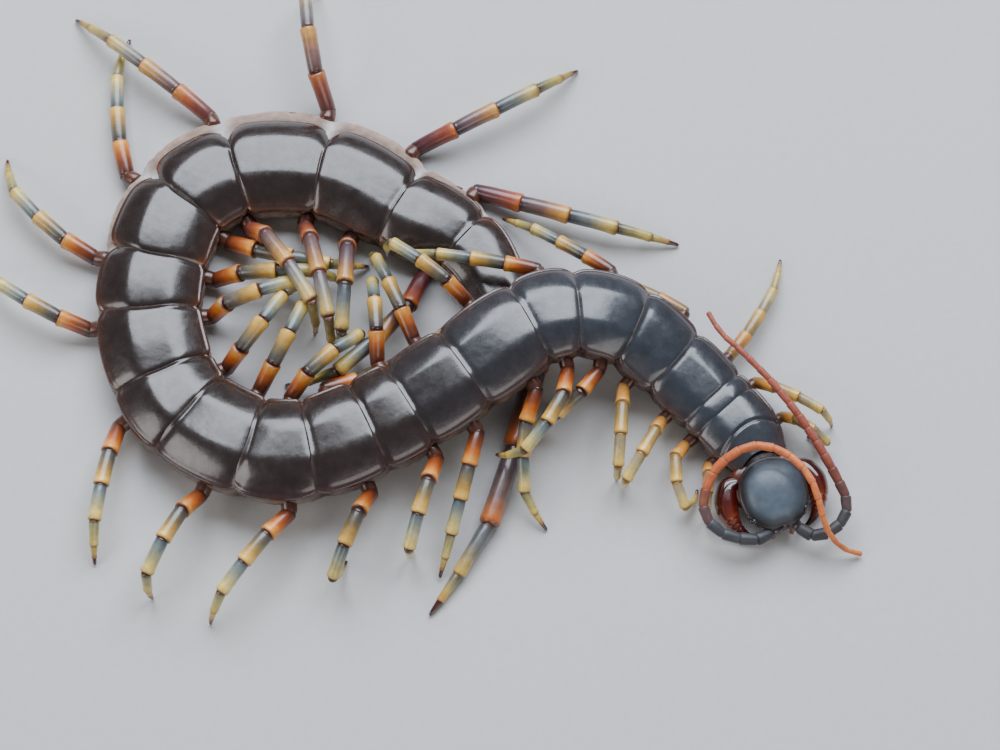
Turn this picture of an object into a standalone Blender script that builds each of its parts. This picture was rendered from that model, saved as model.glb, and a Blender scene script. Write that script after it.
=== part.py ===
"""Giant centipede, life size, at rest in a loop with its front end laid over its tail.

All sizes are in millimetres and become metres when a mesh is made. The pose stands on z = 0,
with x to the viewer's right and y away from the viewer, and every piece hangs from one empty
that brings the middle of its floor box to the origin.
"""
import math

import bmesh
import bpy
from mathutils import Matrix, Vector

MM = 0.001
GAP = 0.3
POSE_CENTRE = Vector((-17.2, 16.8, 0.0))
FLOOR_NORMAL = Vector((0, 0, 1))

# The belly line from the front of the head to the tail: x, y and the height of the belly.
COURSE = [
    (55.0, -33.2, 1.4),
    (50.0, -17.8, 1.6),
    (41.6, -7.2, 1.8),
    (32.6, 1.4, 3.6),
    (23.8, 7.2, 6.8),
    (13.4, 8.0, 9.4),
    (5.0, 5.1, 9.6),
    (-6.0, -2.8, 8.4),
    (-16.0, -9.3, 6.6),
    (-24.8, -14.2, 5.7),
    (-36.6, -18.8, 5.0),
    (-48.1, -18.1, 3.5),
    (-60.4, -11.2, 1.4),
    (-66.6, -2.1, 0.1),
    (-70.0, 10.8, 0.0),
    (-69.0, 23.4, 0.0),
    (-64.2, 35.6, 0.0),
    (-52.4, 42.8, 0.0),
    (-34.4, 42.2, 0.0),
    (-19.2, 33.8, 0.0),
    (-5.4, 25.6, 0.2),
    (3.4, 6.6, 1.4),
]
HEAD_LENGTH = 14.8
NECK = 1.0

# Length of each of the 21 back plates, first to last, and the body's width at some of them.
PLATE_LENGTHS = [
    9.6, 3.8, 11.4, 11.2, 11.4, 8.6, 15.2, 12.9, 9.2, 11.9, 11.7,
    14.5, 11.0, 14.2, 11.7, 13.8, 12.8, 17.8, 17.8, 15.0, 17.6,
]
PLATE_COUNT = len(PLATE_LENGTHS)
BODY_WIDTHS = {0.5: 13.4, 1: 15.4, 1.5: 16.0, 3: 16.4, 5: 18.0, 7: 19.6, 10: 20.6, 14: 21.4, 18: 21.4, 19: 20.4,
               20: 18.4, 21: 14.0}
HEIGHT_TO_WIDTH = 0.455
# The right flank swells below the plates where the body bends left.
SWOLLEN_SIDE = {15: 0.0, 16: 1.0, 17: 2.0, 18: 2.4, 19: 2.2, 20: 1.2, 21: 0.0}

# Cross-section of a segment: out from the midline in half widths, up in heights.
SECTION = [
    (0.00, 1.000),
    (0.34, 0.975),
    (0.68, 0.860),
    (0.96, 0.620),
    (0.92, 0.530),
    (1.00, 0.450),
    (0.93, 0.150),
    (0.48, 0.000),
]
MARGIN = 3
SIDE_FROM = 5
SIDE_TO = 6
SWELLING_BELOW_MARGIN = 0.6
MARGIN_DRAWN_IN = 0.6

# Along a segment: share of its length, and how far the back plate lies below its full height.
STATIONS = [(0.02, 0.9), (0.10, 0.25), (0.35, 0.0), (0.75, 0.0), (0.985, 0.12)]

# Where each claw rests: x, y and height, and how far the leg's arch leans to the tail, in degrees.
FEET = {
    "right": [
        (40.1, -30.0, 0.0, 0), (38.8, -24.5, 0.0, 40), (25.0, -22.5, 0.0, -5),
        (23.0, -22.0, 0.0, 0), (11.6, -5.7, 0.0, -35), (-0.6, -19.0, 6.0, -40),
        (9.0, -32.3, 0.0, 70), (-12.0, -43.3, 0.0, -5), (-17.0, -37.0, 0.0, 0),
        (-30.0, -39.0, 0.0, 0), (-56.0, -51.3, 0.0, 4), (-67.5, -46.3, 0.0, 10),
        (-79.0, -39.3, 0.0, 8), (-104.5, 23.8, 0.0, -32), (-101.2, 46.6, 0.0, -50),
        (-77.4, 74.1, 0.0, -60), (-88.7, 78.8, 0.0, -5), (-38.0, 85.0, 0.0, -15),
        (16.0, 67.0, 0.0, 20), (40.1, 26.8, 0.0, 20), (-14.7, -53.3, 0.03, -80),
    ],
    "left": [
        (61.1, -13.3, 0.0, 0), (65.8, -11.0, 0.0, 0), (57.1, 24.9, 0.0, -65),
        (12.0, 22.0, 0.0, -40), (-2.0, 35.0, 0.0, -5), (-25.0, 23.5, 7.5, 0),
        (-22.5, 23.2, 6.0, 0), (-26.0, 24.6, 0.0, 0), (-25.6, 11.8, 0.0, -5),
        (-10.5, 10.5, 0.0, -100), (-29.5, 3.0, 0.0, 4), (-40.3, 12.9, 0.0, -12),
        (-46.3, 12.8, 0.0, -14), (-43.1, 16.9, 0.0, -6), (-31.9, 19.4, 0.0, -3),
        (-26.8, 23.1, 0.0, -28), (-37.2, 8.3, 0.0, 9), (-33.7, 4.9, 0.0, 3),
        (-31.8, 8.3, 0.0, 4), (-42.6, -2.4, 0.0, 43), (-59.0, -11.0, 0.0, 85),
    ],
}
SIDES = {"right": 1, "left": -1}
LEG_LENGTHS = {1: 17.5, 2: 22.0, 3: 25.0, 6: 29.0, 12: 30.0, 14: 30.5, 15: 32.0, 16: 32.5,
               17: 38.5, 19: 40.0, 20: 43.0, 21: 70.0}
LEG_RADII = {1: 1.2, 3: 1.4, 6: 1.55, 12: 1.7, 19: 1.8, 20: 1.9, 21: 2.6}
ARTICLES = [0.235, 0.235, 0.235, 0.165, 0.090, 0.040]
ARTICLE_RADII = [1.00, 0.94, 0.80, 0.56, 0.40, 0.24]
JOINT_TURNS = [0.8, 0.5, 1.5, 0.4, 0.2]
LEG_PLACES = {1: 0.38, 6: 0.50, 8: 0.40, 9: 0.15, 10: 0.45, 12: 0.40, 14: 0.95, 16: 0.94,
              18: 0.93, 19: 0.74, 20: 0.78, 21: 0.99}
# An article is narrower at its near end and widest a little before its far joint.
NEAR_END = 0.84
WIDEST = 0.82
COXA_LENGTH = 1.5
COXA_RADIUS = 0.95
HIP_GAP = 0.4
CLAW_FLAT = 0.35
CLAW_NECK = 0.42
CLAW_DROP = 0.6
MOST_BEND = 1.4
MOST_REACH = 0.985
BEND_TRIES = 40

# The feelers' routes from their sockets to their tips, and their thickness along the way.
FEELERS = {
    "right": [
        (52.5, -34.3, 4.5), (51.9, -35.2, 4.7), (50.2, -35.8, 5.0), (47.0, -35.8, 5.4),
        (43.4, -35.0, 6.0), (40.6, -33.0, 6.9), (39.3, -30.0, 8.0), (40.0, -26.4, 9.4),
        (42.0, -23.0, 11.0), (45.6, -20.4, 12.6), (49.8, -19.2, 13.2), (54.1, -20.2, 13.0),
        (58.0, -23.1, 12.8), (60.6, -27.2, 12.0), (61.8, -31.0, 10.4), (62.9, -34.2, 8.2),
        (64.8, -36.2, 5.6), (67.3, -37.2, 2.8), (70.5, -37.5, 0.9),
    ],
    "left": [
        (58.2, -33.2, 4.3), (59.2, -34.1, 4.4), (61.2, -34.9, 4.6), (64.7, -33.9, 4.8),
        (67.1, -31.1, 5.2), (67.5, -28.1, 6.0), (65.8, -24.3, 7.0), (63.5, -20.2, 8.2),
        (60.9, -15.7, 9.0), (58.2, -11.7, 9.8), (55.7, -8.5, 10.4), (52.9, -5.0, 11.0),
        (50.0, -2.0, 11.4), (47.1, 1.0, 11.8), (44.2, 3.6, 12.0), (42.3, 6.2, 12.0),
        (41.0, 8.8, 12.0),
    ],
}
FEELER_ARTICLES = 18
FEELER_RADII = (1.3, 0.5)
# Each article of a feeler: share of its length, and share of its thickness there.
FEELER_BEAD = [(0.08, 0.86), (0.45, 0.94), (0.90, 1.0)]

# The head, in its own frame: x to the animal's right, y forwards, z up from the belly line.
# Each level is a share of the plate's outline and a height.
HEAD_PITCH = 8.0
HEAD_SIZE = (13.6, 14.4)
HEAD_ROUNDNESS = 2.3
HEAD_LEVELS = [(0.50, 1.4), (0.76, 2.2), (0.84, 3.6), (0.85, 4.4), (0.97, 4.7), (1.00, 5.2),
               (0.97, 5.9), (0.87, 6.9), (0.68, 7.8), (0.42, 8.4), (0.14, 8.6)]
FOREHEAD_NOTCH = 0.5
NOTCH_WIDTH = 1.3
LIP_PLACE = (0.0, 5.4, 3.0)
LIP_SIZE = (6.4, 4.0, 3.0)
EYES = [(5.30, 4.55, 5.7), (5.95, 3.40, 5.5), (4.75, 5.25, 5.0), (5.75, 4.25, 4.8)]
EYE_RADIUS = 0.60
PALP = [(1.6, 3.6, 1.9), (2.6, 6.2, 1.6), (1.7, 8.2, 1.5)]
PALP_RADII = [0.9, 0.8, 0.4]
FANG_PLATE_PLACE = (0.0, -2.6)
FANG_PLATE_SIZE = (12.6, 8.8)
FANG_PLATE_ROUNDNESS = 3.5
FANG_PLATE_LEVELS = [(0.86, 0.6), (1.0, 1.3), (1.0, 3.0), (0.90, 3.8)]
SOCKET_LENGTH = 3.0
FEELER_SOCKET_RADIUS = 1.43
NECK_SUNK = 2.5
NECK_SHARE = 0.72
NECK_MIDDLE = Vector((0.0, 0.0, 3.4))
LIP_SIDES = 14
EYE_SIDES = 8

# The fangs' route in the head's frame, for the right one, and their thickness along it.
FANG = [(6.75, -3.6, 2.05), (8.5, -3.5, 2.1), (9.8, -0.8, 2.2), (9.6, 2.3, 2.15), (8.5, 4.8, 1.9),
        (6.6, 6.7, 1.65), (4.6, 7.7, 1.3), (3.3, 8.0, 1.2)]
FANG_RADII = [1.7, 1.85, 1.8, 1.6, 1.3, 0.9, 0.5, 0.25]


def between(table, number):
    """Read a table of named numbers at any number between its own."""
    keys = sorted(table)
    if number <= keys[0]:
        return table[keys[0]]
    for low, high in zip(keys, keys[1:]):
        if number <= high:
            share = (number - low) / (high - low)
            return table[low] + share * (table[high] - table[low])
    return table[keys[-1]]


def smooth_line(points, steps=12):
    """A smooth line through the points, as closely spaced points that stay above the floor."""
    points = [Vector(p) for p in points]
    ends = [2 * points[0] - points[1]] + points + [2 * points[-1] - points[-2]]
    line = []
    for a, b, c, d in zip(ends, ends[1:], ends[2:], ends[3:]):
        for step in range(steps):
            t = step / steps
            place = 0.5 * ((2 * b) + (c - a) * t + (2 * a - 5 * b + 4 * c - d) * t ** 2
                           + (3 * b - a - 3 * c + d) * t ** 3)
            line.append(Vector((place.x, place.y, max(place.z, 0.0))))
    return line + [points[-1]]


class Line:
    """A line that is read by the distance along it."""

    def __init__(self, points):
        self.points = smooth_line(points)
        self.marks = [0.0]
        for a, b in zip(self.points, self.points[1:]):
            self.marks.append(self.marks[-1] + (b - a).length)
        self.length = self.marks[-1]

    def at(self, distance):
        """The point at a distance along the line; past an end it runs on straight."""
        index = 0
        while index < len(self.marks) - 2 and self.marks[index + 1] < distance:
            index += 1
        span = self.marks[index + 1] - self.marks[index]
        share = (distance - self.marks[index]) / span
        return self.points[index].lerp(self.points[index + 1], share)

    def frame(self, distance, reach=1.5):
        """Point, tailward direction, right side and up at a distance along the body."""
        tailward = (self.at(distance + reach) - self.at(distance - reach)).normalized()
        left = FLOOR_NORMAL.cross(-tailward).normalized()
        up = (-tailward).cross(left)
        return self.at(distance), tailward, -left, up


def new_material(name, colour, roughness):
    """A plain material of one colour."""
    material = bpy.data.materials.new(name)
    material.use_nodes = True
    shader = material.node_tree.nodes["Principled BSDF"]
    shader.inputs["Base Color"].default_value = (*colour, 1.0)
    shader.inputs["Roughness"].default_value = roughness
    return material


def add_object(name, data, material, collection, parent):
    """Link an object made in millimetres of the pose."""
    thing = bpy.data.objects.new(name, data)
    data.materials.append(material)
    collection.objects.link(thing)
    thing.parent = parent
    return thing


def loft(name, rings):
    """A closed mesh through rings of the same number of points, with flat ends."""
    shape = bmesh.new()
    loops = [[shape.verts.new(point * MM) for point in ring] for ring in rings]
    for near, far in zip(loops, loops[1:]):
        for index in range(len(near)):
            after = (index + 1) % len(near)
            shape.faces.new((near[index], near[after], far[after], far[index]))
    shape.faces.new(list(reversed(loops[0])))
    shape.faces.new(loops[-1])
    bmesh.ops.recalc_face_normals(shape, faces=shape.faces)
    mesh = bpy.data.meshes.new(name)
    shape.to_mesh(mesh)
    shape.free()
    return mesh


def tube(name, points, radii, sides=6):
    """A tapering round tube with filled ends, its cross-section a polygon of 6 or 8 sides."""
    curve = bpy.data.curves.new(name, "CURVE")
    curve.dimensions = "3D"
    curve.bevel_depth = MM
    curve.bevel_resolution = (sides - 4) // 2
    curve.use_fill_caps = True
    spline = curve.splines.new("POLY")
    spline.points.add(len(points) - 1)
    for knot, point, radius in zip(spline.points, points, radii):
        knot.co = (*(point * MM), 1.0)
        knot.radius = radius
    return curve


BODY = Line(COURSE)


def plate_start(number):
    """Distance along the body of the front of a back plate, the first being number 1."""
    return HEAD_LENGTH + NECK + sum(PLATE_LENGTHS[:number - 1])


def half_width(number, share):
    """Half of the body's width at a share of a segment's length."""
    return 0.5 * between(BODY_WIDTHS, number + share - 0.5)


def section_ring(number, share, dip, distance):
    """The cross-section of a segment, as points around it from the top of the back."""
    centre, tailward, right, up = BODY.frame(distance)
    width = half_width(number, share)
    height = 2 * width * HEIGHT_TO_WIDTH
    swelling = between(SWOLLEN_SIDE, number + share - 0.5)
    ring = []
    for side in (1, -1):
        half = []
        for index, (out, high) in enumerate(SECTION):
            away = out * width
            lift = high * height
            if index <= MARGIN:
                lift -= dip
            if index == MARGIN:
                away -= MARGIN_DRAWN_IN * dip
            if side == 1 and index == MARGIN + 1:
                away += SWELLING_BELOW_MARGIN * swelling
            if side == 1 and SIDE_FROM <= index <= SIDE_TO:
                away += swelling
            half.append(centre + right * side * away + up * lift)
        ring += half if side == 1 else list(reversed(half[1:]))
    return ring


def trunk_length(first, last):
    """Rings of one length of the trunk, from the front of one segment to the end of another."""
    rings = []
    for number in range(first, last + 1):
        length = PLATE_LENGTHS[number - 1]
        for share, dip in STATIONS:
            distance = plate_start(number) + share * length
            rings.append(section_ring(number, share, dip, distance))
    front = section_ring(first, 0.0, STATIONS[0][1], plate_start(first) + GAP / 2)
    back = section_ring(last, 1.0, STATIONS[-1][1], plate_start(last + 1) - GAP / 2)
    return [front] + rings[1:-1] + [back]


def hip(number, side):
    """Where a leg meets the body's side, and the way that side faces."""
    place = between(LEG_PLACES, number)
    distance = plate_start(number) + place * PLATE_LENGTHS[number - 1]
    ring = section_ring(number, place, 0.0, distance)
    upper = ring[SIDE_FROM] if side == 1 else ring[-SIDE_FROM]
    lower = ring[SIDE_TO] if side == 1 else ring[-SIDE_TO]
    centre, tailward, right, up = BODY.frame(distance)
    facing = (upper - lower).cross(tailward * side).normalized()
    return (upper + lower) / 2 + facing * HIP_GAP, facing


def arch(lengths, reach):
    """Heading of each article, in radians, that makes a bent chain of them span the reach."""
    def chain(bend):
        headings = [0.0]
        for share in JOINT_TURNS:
            headings.append(headings[-1] - bend * share)
        span = sum(length * math.cos(heading) for length, heading in zip(lengths, headings))
        rise = sum(length * math.sin(heading) for length, heading in zip(lengths, headings))
        tilt = math.atan2(rise, span)
        return math.hypot(span, rise), [heading - tilt for heading in headings]

    low, high = 0.0, MOST_BEND
    for _ in range(BEND_TRIES):
        middle = (low + high) / 2
        if chain(middle)[0] > reach:
            low = middle
        else:
            high = middle
    return chain(low)[1]


def leg_joints(number, side):
    """The joints of a leg from its hip to the floor."""
    root, facing = hip(number, side)
    start = root + facing * COXA_LENGTH
    word = "right" if side == 1 else "left"
    foot_x, foot_y, foot_z, lean = FEET[word][number - 1]
    foot = Vector((foot_x, foot_y, foot_z + CLAW_DROP))
    total = between(LEG_LENGTHS, number)
    lengths = [share * total for share in ARTICLES]
    along = foot - start
    reach = min(along.length, MOST_REACH * total)
    direct = along.normalized()
    sideways = direct.cross(FLOOR_NORMAL).normalized()
    arching = Matrix.Rotation(math.radians(lean) * side, 3, direct) @ sideways.cross(direct)
    joints = [root, start]
    for length, heading in zip(lengths, arch(lengths, reach)):
        step = direct * math.cos(heading) + arching * math.sin(heading)
        joints.append(joints[-1] + length * step)
    return joints


def leg(number, side):
    """Points and radii of a leg: coxa, five articles that widen to their far ends, and a claw."""
    joints = leg_joints(number, side)
    thick = between(LEG_RADII, number)
    points = [joints[0]]
    radii = [thick * COXA_RADIUS]
    for index, share in enumerate(ARTICLE_RADII):
        near, far = joints[index + 1], joints[index + 2]
        points += [near, near.lerp(far, WIDEST)]
        radii += [thick * share * NEAR_END, thick * share]
    tip = joints[-1]
    points[-1] = tip
    radii[-1] = CLAW_NECK
    points.append(tip - FLOOR_NORMAL * CLAW_DROP)
    radii.append(CLAW_FLAT)
    return points, radii


def feeler(word):
    """Points and radii of a feeler: many short articles, each a little wider at its far end."""
    line = Line(FEELERS[word])
    points = []
    radii = []
    thick, thin = FEELER_RADII
    for number in range(FEELER_ARTICLES):
        for share, swell in FEELER_BEAD:
            place = (number + share) / FEELER_ARTICLES
            points.append(line.at(place * line.length))
            radii.append((thick + (thin - thick) * place) * swell)
    return points, radii


def head_frame():
    """The head's own frame in the pose, nose tipped to the floor."""
    centre, tailward, right, up = BODY.frame(HEAD_LENGTH / 2)
    turn = Matrix((right, -tailward, up)).transposed().to_4x4()
    return Matrix.Translation(centre) @ turn @ Matrix.Rotation(-math.radians(HEAD_PITCH), 4, "X")


def outline_rings(levels, size, roundness, notch=0.0, middle=(0.0, 0.0), sides=28):
    """Level rings of a rounded outline in the head's frame, moved into the pose."""
    frame = head_frame()
    rings = []
    for share, height in levels:
        ring = []
        for index in range(sides):
            angle = 2 * math.pi * index / sides
            across, along = math.cos(angle), math.sin(angle)
            x = math.copysign(abs(across) ** (2 / roundness), across) * share * size[0] / 2
            y = math.copysign(abs(along) ** (2 / roundness), along) * share * size[1] / 2
            if along > 0:
                y -= notch * share * math.exp(-(x / NOTCH_WIDTH) ** 2)
            ring.append(frame @ Vector((middle[0] + x, middle[1] + y, height)))
        rings.append(ring)
    return rings


def socket(root, direction, radius):
    """A short round peg that ends flat, a gap short of the root of what it carries."""
    far = root - direction * GAP
    return tube("socket", [far - direction * SOCKET_LENGTH, far], [radius, radius], 8)


def fuse(base, pieces, collection):
    """Join closed pieces, meshes or curves, to an object with one union."""
    group = bpy.data.collections.new("pieces")
    collection.children.link(group)
    for data in pieces:
        piece = bpy.data.objects.new("piece", data)
        group.objects.link(piece)
        piece.parent = base.parent
        if isinstance(data, bpy.types.Curve):
            make_mesh(piece)
    union = base.modifiers.new("union", "BOOLEAN")
    union.operation = "UNION"
    union.operand_type = "COLLECTION"
    union.collection = group
    make_mesh(base)
    for piece in list(group.objects):
        bpy.data.objects.remove(piece)
    bpy.data.collections.remove(group)


def make_mesh(thing):
    """Turn an object into the closed mesh that its curve or modifiers make."""
    bpy.context.view_layer.update()
    seen = thing.evaluated_get(bpy.context.evaluated_depsgraph_get())
    mesh = bpy.data.meshes.new_from_object(seen)
    shape = bmesh.new()
    shape.from_mesh(mesh)
    bmesh.ops.remove_doubles(shape, verts=shape.verts, dist=MM * 0.001)
    shape.to_mesh(mesh)
    shape.free()
    thing.modifiers.clear()
    if thing.type == "MESH":
        thing.data = mesh
        return
    twin = bpy.data.objects.new(thing.name, mesh)
    twin.parent = thing.parent
    thing.users_collection[0].objects.link(twin)
    bpy.data.objects.remove(thing)


def ball(place, size, sides):
    """An egg-shaped lump in the head's frame, given by its middle and full size."""
    shape = bmesh.new()
    turn = head_frame() @ Matrix.Translation(place) @ Matrix.Diagonal((*size, 1.0))
    bmesh.ops.create_uvsphere(shape, u_segments=sides, v_segments=sides // 2 + 1, radius=0.5)
    bmesh.ops.transform(shape, matrix=turn, verts=shape.verts)
    bmesh.ops.scale(shape, vec=(MM, MM, MM), verts=shape.verts)
    mesh = bpy.data.meshes.new("lump")
    shape.to_mesh(mesh)
    shape.free()
    return mesh


def fang(side):
    """Points of one fang in the pose."""
    frame = head_frame()
    return [frame @ Vector((x * side, y, z)) for x, y, z in FANG]


def head_pieces():
    """What the head carries: neck, fang plate, lip, eyes, palps, and pegs for feelers and fangs."""
    frame = head_frame()
    end = plate_start(1) - GAP / 2
    neck = []
    for distance in (end - NECK - NECK_SUNK, end):
        middle = BODY.at(distance) + NECK_MIDDLE
        neck.append([middle + NECK_SHARE * (point - middle)
                     for point in section_ring(1, 0.0, 0.0, distance)])
    pieces = [
        loft("neck", neck),
        loft("fang plate", outline_rings(FANG_PLATE_LEVELS, FANG_PLATE_SIZE,
                                         FANG_PLATE_ROUNDNESS, middle=FANG_PLATE_PLACE)),
        ball(LIP_PLACE, LIP_SIZE, LIP_SIDES),
    ]
    for word, side in SIDES.items():
        for x, y, z in EYES:
            pieces.append(ball((x * side, y, z), (2 * EYE_RADIUS,) * 3, EYE_SIDES))
        palp = [frame @ Vector((x * side, y, z)) for x, y, z in PALP]
        pieces.append(tube("palp", palp, PALP_RADII))
        feeler_root, feeler_next = feeler(word)[0][:2]
        along = (feeler_next - feeler_root).normalized()
        pieces.append(socket(feeler_root, along, FEELER_SOCKET_RADIUS))
        fang_root, fang_next = fang(side)[:2]
        pieces.append(socket(fang_root, (fang_next - fang_root).normalized(), FANG_RADII[0]))
    return pieces


def build():
    """Remove the start scene and model the whole animal."""
    for thing in list(bpy.data.objects):
        bpy.data.objects.remove(thing)
    collection = bpy.data.collections.new("Giant centipede")
    bpy.context.scene.collection.children.link(collection)
    root = bpy.data.objects.new("centipede", None)
    collection.objects.link(root)
    root.location = -POSE_CENTRE * MM

    shell = new_material("dark shell", (0.035, 0.022, 0.020), 0.3)
    amber = new_material("amber leg", (0.55, 0.22, 0.04), 0.35)

    for first in range(1, PLATE_COUNT + 1, 2):
        last = min(first + 1, PLATE_COUNT)
        name = f"trunk_{first:02d}_{last:02d}" if last > first else f"trunk_{first:02d}"
        add_object(name, loft(name, trunk_length(first, last)), shell, collection, root)

    for word, side in SIDES.items():
        for number in range(1, PLATE_COUNT + 1):
            name = f"leg_{word}_{number:02d}"
            points, radii = leg(number, side)
            add_object(name, tube(name, points, radii), amber, collection, root)

    head = add_object("head", loft("head", outline_rings(HEAD_LEVELS, HEAD_SIZE, HEAD_ROUNDNESS,
                                                         FOREHEAD_NOTCH)),
                      shell, collection, root)
    fuse(head, head_pieces(), collection)

    for word, side in SIDES.items():
        points, radii = feeler(word)
        name = f"antenna_{word}"
        add_object(name, tube(name, points, radii), amber, collection, root)
        name = f"forcipule_{word}"
        add_object(name, tube(name, fang(side), FANG_RADII, 8), amber, collection, root)


build()
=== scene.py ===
"""A giant centipede at life size, lying in a loop with its front end across its tail.

Lengths are in millimetres of the pose, x to the right, y away from the viewer and z up from
the floor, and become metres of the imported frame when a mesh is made.
"""
import math

import bmesh
import bpy
import numpy as np
from mathutils import Matrix, Vector, noise


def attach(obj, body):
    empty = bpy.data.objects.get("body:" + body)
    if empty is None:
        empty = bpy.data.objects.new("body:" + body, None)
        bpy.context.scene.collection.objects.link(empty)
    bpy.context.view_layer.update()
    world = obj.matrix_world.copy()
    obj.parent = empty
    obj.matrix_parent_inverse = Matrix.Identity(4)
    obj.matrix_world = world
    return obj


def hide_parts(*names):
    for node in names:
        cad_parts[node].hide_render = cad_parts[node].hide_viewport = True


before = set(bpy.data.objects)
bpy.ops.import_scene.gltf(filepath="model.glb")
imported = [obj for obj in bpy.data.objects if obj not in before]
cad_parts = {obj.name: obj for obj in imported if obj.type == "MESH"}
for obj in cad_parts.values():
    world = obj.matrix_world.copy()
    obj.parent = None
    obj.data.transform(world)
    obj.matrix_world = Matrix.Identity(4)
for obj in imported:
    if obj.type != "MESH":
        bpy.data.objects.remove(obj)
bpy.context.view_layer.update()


# --- Soft skin of the trunk ------------------------------------------------------------------
# Leathery skin joins the hard plates of back and belly along the animal's sides. It is one
# closed tube along the line of the belly, drawn in at every segment and swollen where the body
# bends, and all later pieces stand on the same line.
MM = 0.001
LEAST_HEIGHT = 0.01
MIDDLE = np.array((-17.2, 16.8, 0.0))
COURSE = [
    (55.0, -33.2, 1.4), (50.0, -17.8, 1.6), (41.6, -7.2, 1.8), (32.6, 1.4, 3.6), (23.8, 7.2, 6.8),
    (13.4, 8.0, 9.4), (5.0, 5.1, 9.6), (-6.0, -2.8, 8.4), (-16.0, -9.3, 6.6), (-24.8, -14.2, 5.7),
    (-36.6, -18.8, 5.0), (-48.1, -18.1, 3.5), (-60.4, -11.2, 1.4), (-66.6, -2.1, 0.1),
    (-70.0, 10.8, 0.0), (-69.0, 23.4, 0.0), (-64.2, 35.6, 0.0), (-52.4, 42.8, 0.0),
    (-34.4, 42.2, 0.0), (-19.2, 33.8, 0.0), (-5.4, 25.6, 0.2), (3.4, 6.6, 1.4),
]
HEAD_LENGTH = 14.8
NECK = 1.0
PLATE_LENGTHS = [
    9.6, 3.8, 11.4, 11.2, 11.4, 8.6, 15.2, 12.9, 9.2, 11.9, 11.7,
    14.5, 11.0, 14.2, 11.7, 13.8, 12.8, 17.8, 17.8, 15.0, 17.6,
]
PLATE_COUNT = len(PLATE_LENGTHS)
PLATE_STARTS = HEAD_LENGTH + NECK + np.concatenate(([0.0], np.cumsum(PLATE_LENGTHS)))
BODY_WIDTHS = {0.5: 13.4, 1: 15.4, 1.5: 16.0, 3: 16.4, 5: 18.0, 7: 19.6, 10: 20.6, 14: 21.4,
               18: 21.4, 19: 20.4, 20: 18.4, 21: 14.0}
HEIGHT_TO_WIDTH = 0.455
SWOLLEN_SIDE = {15: 0.0, 16: 1.0, 17: 2.0, 18: 2.4, 19: 2.2, 20: 1.2, 21: 0.0}
SKIN_SECTION = [(0.0, 0.93), (0.34, 0.905), (0.66, 0.79), (0.84, 0.64), (0.90, 0.54), (0.95, 0.46),
                (0.965, 0.36), (0.95, 0.24), (0.88, 0.11), (0.70, 0.05), (0.48, 0.03), (0.0, 0.03)]


def smooth_route(points, steps=12):
    """Closely spaced points on a smooth line through the given ones."""
    points = np.array(points, float)
    ends = np.vstack((2 * points[0] - points[1], points, 2 * points[-1] - points[-2]))
    route = []
    for a, b, c, d in zip(ends, ends[1:], ends[2:], ends[3:]):
        for t in np.arange(steps) / steps:
            route.append(0.5 * (2 * b + (c - a) * t + (2 * a - 5 * b + 4 * c - d) * t ** 2
                                + (3 * b - a - 3 * c + d) * t ** 3))
    route.append(points[-1])
    return np.array(route)


def unit(vectors):
    """Vectors made one long."""
    return vectors / np.linalg.norm(vectors, axis=-1, keepdims=True)


def run_of(points):
    """The distance from the first point to each, along the line through all of them."""
    return np.concatenate(([0.0], np.cumsum(np.linalg.norm(np.diff(points, axis=0), axis=1))))


def between(marks, rows, wanted):
    """Rows of three values, each set at its own mark, read at any marks."""
    return np.stack([np.interp(wanted, marks, rows[:, k]) for k in range(3)], -1)


class Route:
    """A smooth line above the floor, read by distance along it and straight past its ends."""

    def __init__(self, points, reserve=20.0):
        route = smooth_route(points)
        route[:, 2] = np.maximum(route[:, 2], 0.0)
        before = route[0] - unit(route[1] - route[0]) * reserve
        after = route[-1] + unit(route[-1] - route[-2]) * reserve
        self.points = np.vstack((before, route, after))
        self.marks = run_of(self.points) - reserve
        self.length = self.marks[-1] - reserve

    def at(self, distance):
        """Points at distances along the line."""
        return between(self.marks, self.points, distance)

    def frame(self, distance, reach=1.5):
        """Points, tailward directions, right sides and up directions at distances."""
        distance = np.asarray(distance, float)
        tailward = unit(self.at(distance + reach) - self.at(distance - reach))
        left = unit(np.cross((0.0, 0.0, 1.0), -tailward))
        return self.at(distance), tailward, -left, np.cross(-tailward, left)


def read(table, number):
    """Values of a table of named numbers at any numbers between its own."""
    keys = sorted(table)
    return np.interp(number, keys, [table[key] for key in keys])


def segment_number(distance):
    """The segment at a distance along the body, whole at the middle of each segment."""
    return np.interp(distance, PLATE_STARTS, np.arange(PLATE_COUNT + 1) + 0.5)


def half_width(distance):
    """Half of the body's width at a distance along it."""
    return 0.5 * read(BODY_WIDTHS, segment_number(distance))


def bell(distance, width):
    """One at a distance of nothing, falling smoothly to nothing over about twice the width."""
    return np.exp(-(distance / width) ** 2)


def on_body(distance, across, lift):
    """Points at distances along the body, so far to its right and so high above its belly."""
    centre, _, right, up = BODY.frame(distance)
    return centre + right * across[..., None] + up * lift[..., None]


def shell_faces(rows, columns, first=0, ring=False):
    """Faces of a grid of points that runs row after row, closed to a ring where asked."""
    faces = []
    for row in range(rows - 1):
        for column in range(columns if ring else columns - 1):
            after = (column + 1) % columns
            near, far = first + row * columns, first + (row + 1) * columns
            faces.append((near + column, near + after, far + after, far + column))
    return faces


def tube_faces(rings, sides, first=0):
    """Faces of a closed tube whose points run ring after ring, with both ends filled."""
    return shell_faces(rings, sides, first, ring=True) + [
        tuple(first + side for side in reversed(range(sides))),
        tuple(first + (rings - 1) * sides + side for side in range(sides))]


def tube_part(rings):
    """Points and faces of a closed tube of rings."""
    return rings.reshape(-1, 3), tube_faces(*rings.shape[:2])


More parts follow.
